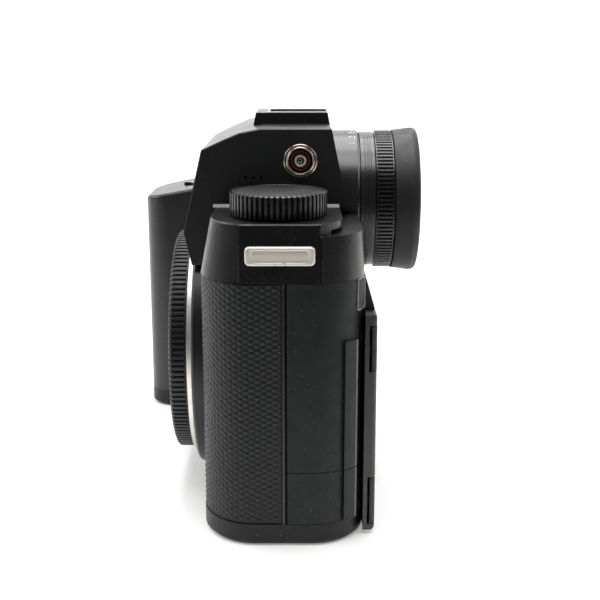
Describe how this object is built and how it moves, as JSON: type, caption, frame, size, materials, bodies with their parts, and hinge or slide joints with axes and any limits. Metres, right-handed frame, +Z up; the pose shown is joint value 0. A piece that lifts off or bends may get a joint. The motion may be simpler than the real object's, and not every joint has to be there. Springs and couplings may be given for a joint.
{
  "type": "interchangeable-lens digital camera body",
  "caption": "Camera body with a body cap on its lens mount, a prism housing, a round eyepiece, a side dial, hinged port doors and a deep grip.",
  "frame": {"origin": "centre of the tripod socket's mouth, in the plane of the base", "axes": "+X to the viewer's left, -Y out of the lens mount, +Z up"},
  "size_m": [0.1604, 0.0964, 0.1198],
  "materials": {
    "body_paint": "satin black paint with a fine texture",
    "leather": "leatherette with small raised bumps",
    "mount_paint": "satin black",
    "flange_steel": "turned bright steel",
    "screw_steel": "plain steel",
    "nickel": "warm bright nickel",
    "contact_gold": "gold plated",
    "cap_plastic": "moulded black plastic, ridged edge",
    "dial_metal": "knurled, black anodised",
    "key_plastic": "fine matt black",
    "door_rubber": "smooth rubber coat, very dark grey green",
    "eyecup_rubber": "matt soft rubber",
    "barrel_black": "semi gloss black",
    "optical_glass": "clear coated glass",
    "screen_black": "polished black cover glass",
    "mirror": "front silvered",
    "inner_black": "flocked matt black",
    "blade_black": "thin coated blade",
    "chassis_cast": "as cast",
    "board_green": "solder resist",
    "sensor_blue": "filter glass over silicon",
    "battery_shell": "matt black",
    "shoe_steel": "dark blasted steel",
    "port_metal": "drawn steel shells"
  },
  "bodies": {
    "body": {"front_casing": "body_paint", "rear_cover": "body_paint", "top_cover": "body_paint", "prism_housing": "body_paint", "base_plate": "body_paint", "grip_casing": "body_paint", "display_housing": "body_paint", "leather_front": "leather", "leather_grip": "leather", "leather_rear": "leather", "mount_collar": "mount_paint", "lens_mount_ring": "flange_steel", "mount_screws": "screw_steel", "base_screws": "screw_steel", "tripod_socket": "screw_steel", "door_hinge_pin": "screw_steel", "strap_lug_left": "nickel", "strap_lug_right": "nickel", "sync_socket": "nickel", "mount_contacts": "contact_gold", "shoe_contacts": "contact_gold", "eyecup": "eyecup_rubber", "eyepiece_barrel": "barrel_black", "pentaprism": "optical_glass", "focusing_screen": "optical_glass", "display_glass": "screen_black", "status_display": "screen_black", "mirror_box": "inner_black", "shutter_frame": "inner_black", "port_panel": "inner_black", "chassis": "chassis_cast", "main_board": "board_green", "sensor_unit": "sensor_blue", "hot_shoe": "shoe_steel", "port_sockets": "port_metal"},
    "cap": {"body_cap": "cap_plastic"},
    "release": {"lens_release_button": "body_paint"},
    "lock_pin": {"lens_lock_pin": "screw_steel"},
    "dial": {"speed_dial": "dial_metal"},
    "trigger": {"shutter_release": "body_paint"},
    "switch": {"main_switch": "body_paint"},
    "wheel": {"thumb_wheel": "dial_metal"},
    "lock_key": {"lock_key": "key_plastic"},
    "key_upper_left": {"menu_key_upper_left": "key_plastic"},
    "key_lower_left": {"menu_key_lower_left": "key_plastic"},
    "key_upper_right": {"menu_key_upper_right": "key_plastic"},
    "key_lower_right": {"menu_key_lower_right": "key_plastic"},
    "dioptre": {"dioptre_ring": "barrel_black"},
    "ocular": {"ocular_cell": "barrel_black", "ocular_lens": "optical_glass"},
    "door_upper": {"port_door_upper": "door_rubber"},
    "door_lower": {"port_door_lower": "door_rubber"},
    "card_door": {"card_door": "door_rubber"},
    "battery": {"battery": "battery_shell"},
    "latch": {"battery_latch": "battery_shell"},
    "mirror": {"mirror_frame": "inner_black", "mirror_glass": "mirror"},
    "sub_mirror": {"sub_mirror": "mirror"},
    "blade_upper": {"shutter_blade_upper": "blade_black"},
    "blade_lower": {"shutter_blade_lower": "blade_black"}
  },
  "joints": [
    {"name": "cap_pull", "type": "slide", "parent": "body", "child": "cap", "axis": [0, -1, 0], "range_m": [0, 0.03]},
    {"name": "release_press", "type": "slide", "parent": "body", "child": "release", "axis": [0, 1, 0], "range_m": [0, 0.0015], "stiffness_N_per_m": 400},
    {"name": "lock_pin_slide", "type": "slide", "parent": "body", "child": "lock_pin", "axis": [0, 1, 0], "range_m": [0, 0.0015]},
    {"name": "speed_dial_turn", "type": "hinge", "parent": "body", "child": "dial", "pos_m": [0.0451, -0.0002, 0.097], "axis": [0, 0, 1], "continuous": true},
    {"name": "shutter_release_press", "type": "slide", "parent": "body", "child": "trigger", "axis": [0, 0, -1], "range_m": [0, 0.0009], "stiffness_N_per_m": 400},
    {"name": "main_switch_turn", "type": "hinge", "parent": "body", "child": "switch", "pos_m": [-0.077, -0.0297, 0.087], "axis": [0, 0, 1], "range_deg": [0, 40]},
    {"name": "thumb_wheel_turn", "type": "hinge", "parent": "body", "child": "wheel", "pos_m": [-0.074, 0.0175, 0.0834], "axis": [0, 0, 1], "continuous": true},
    {"name": "lock_key_press", "type": "slide", "parent": "body", "child": "lock_key", "axis": [0, -1, 0], "range_m": [0, 0.0008], "stiffness_N_per_m": 400},
    {"name": "key_upper_left_press", "type": "slide", "parent": "body", "child": "key_upper_left", "axis": [0, -1, 0], "range_m": [0, 0.0005], "stiffness_N_per_m": 400},
    {"name": "key_lower_left_press", "type": "slide", "parent": "body", "child": "key_lower_left", "axis": [0, -1, 0], "range_m": [0, 0.0005], "stiffness_N_per_m": 400},
    {"name": "key_upper_right_press", "type": "slide", "parent": "body", "child": "key_upper_right", "axis": [0, -1, 0], "range_m": [0, 0.0005], "stiffness_N_per_m": 400},
    {"name": "key_lower_right_press", "type": "slide", "parent": "body", "child": "key_lower_right", "axis": [0, -1, 0], "range_m": [0, 0.0005], "stiffness_N_per_m": 400},
    {"name": "dioptre_turn", "type": "hinge", "parent": "body", "child": "dioptre", "pos_m": [0, 0.032, 0.0913], "axis": [0, 1, 0], "range_deg": [-150, 150]},
    {"name": "ocular_slide", "type": "slide", "parent": "body", "child": "ocular", "axis": [0, 1, 0], "range_m": [-0.0015, 0.0015]},
    {"name": "door_upper_hinge", "type": "hinge", "parent": "body", "child": "door_upper", "pos_m": [0.0629, 0.003, 0.05], "axis": [0, 0, 1], "range_deg": [-90, 0]},
    {"name": "door_lower_hinge", "type": "hinge", "parent": "body", "child": "door_lower", "pos_m": [0.0629, 0.003, 0.014], "axis": [0, 0, 1], "range_deg": [-90, 0]},
    {"name": "card_door_hinge", "type": "hinge", "parent": "body", "child": "card_door", "pos_m": [-0.0949, -0.0129, 0.042], "axis": [0, 0, 1], "range_deg": [0, 90]},
    {"name": "battery_slide", "type": "slide", "parent": "body", "child": "battery", "axis": [0, 0, -1], "range_m": [0, 0.062]},
    {"name": "battery_latch_turn", "type": "hinge", "parent": "body", "child": "latch", "pos_m": [-0.0525, -0.0094, 0.001], "axis": [0, 0, 1], "range_deg": [0, 90]},
    {"name": "mirror_swing", "type": "hinge", "parent": "body", "child": "mirror", "pos_m": [0, 0.012, 0.0597], "axis": [-1, 0, 0], "range_deg": [0, 45]},
    {"name": "sub_mirror_fold", "type": "hinge", "parent": "mirror", "child": "sub_mirror", "pos_m": [0, 0.00302, 0.04888], "axis": [-1, 0, 0], "range_deg": [0, 90]},
    {"name": "blade_upper_slide", "type": "slide", "parent": "body", "child": "blade_upper", "axis": [0, 0, -1], "range_m": [0, 0.027]},
    {"name": "blade_lower_slide", "type": "slide", "parent": "body", "child": "blade_lower", "axis": [0, 0, -1], "range_m": [0, 0.0135]}
  ],
  "couplings": [
    {"joint": "lock_pin_slide", "follows": "release_press", "ratio": 1},
    {"joint": "ocular_slide", "follows": "dioptre_turn", "m_per_rad": 0.00057296},
    {"joint": "sub_mirror_fold", "follows": "mirror_swing", "ratio": 1.9556},
    {"joint": "blade_lower_slide", "follows": "blade_upper_slide", "ratio": 0.5}
  ]
}
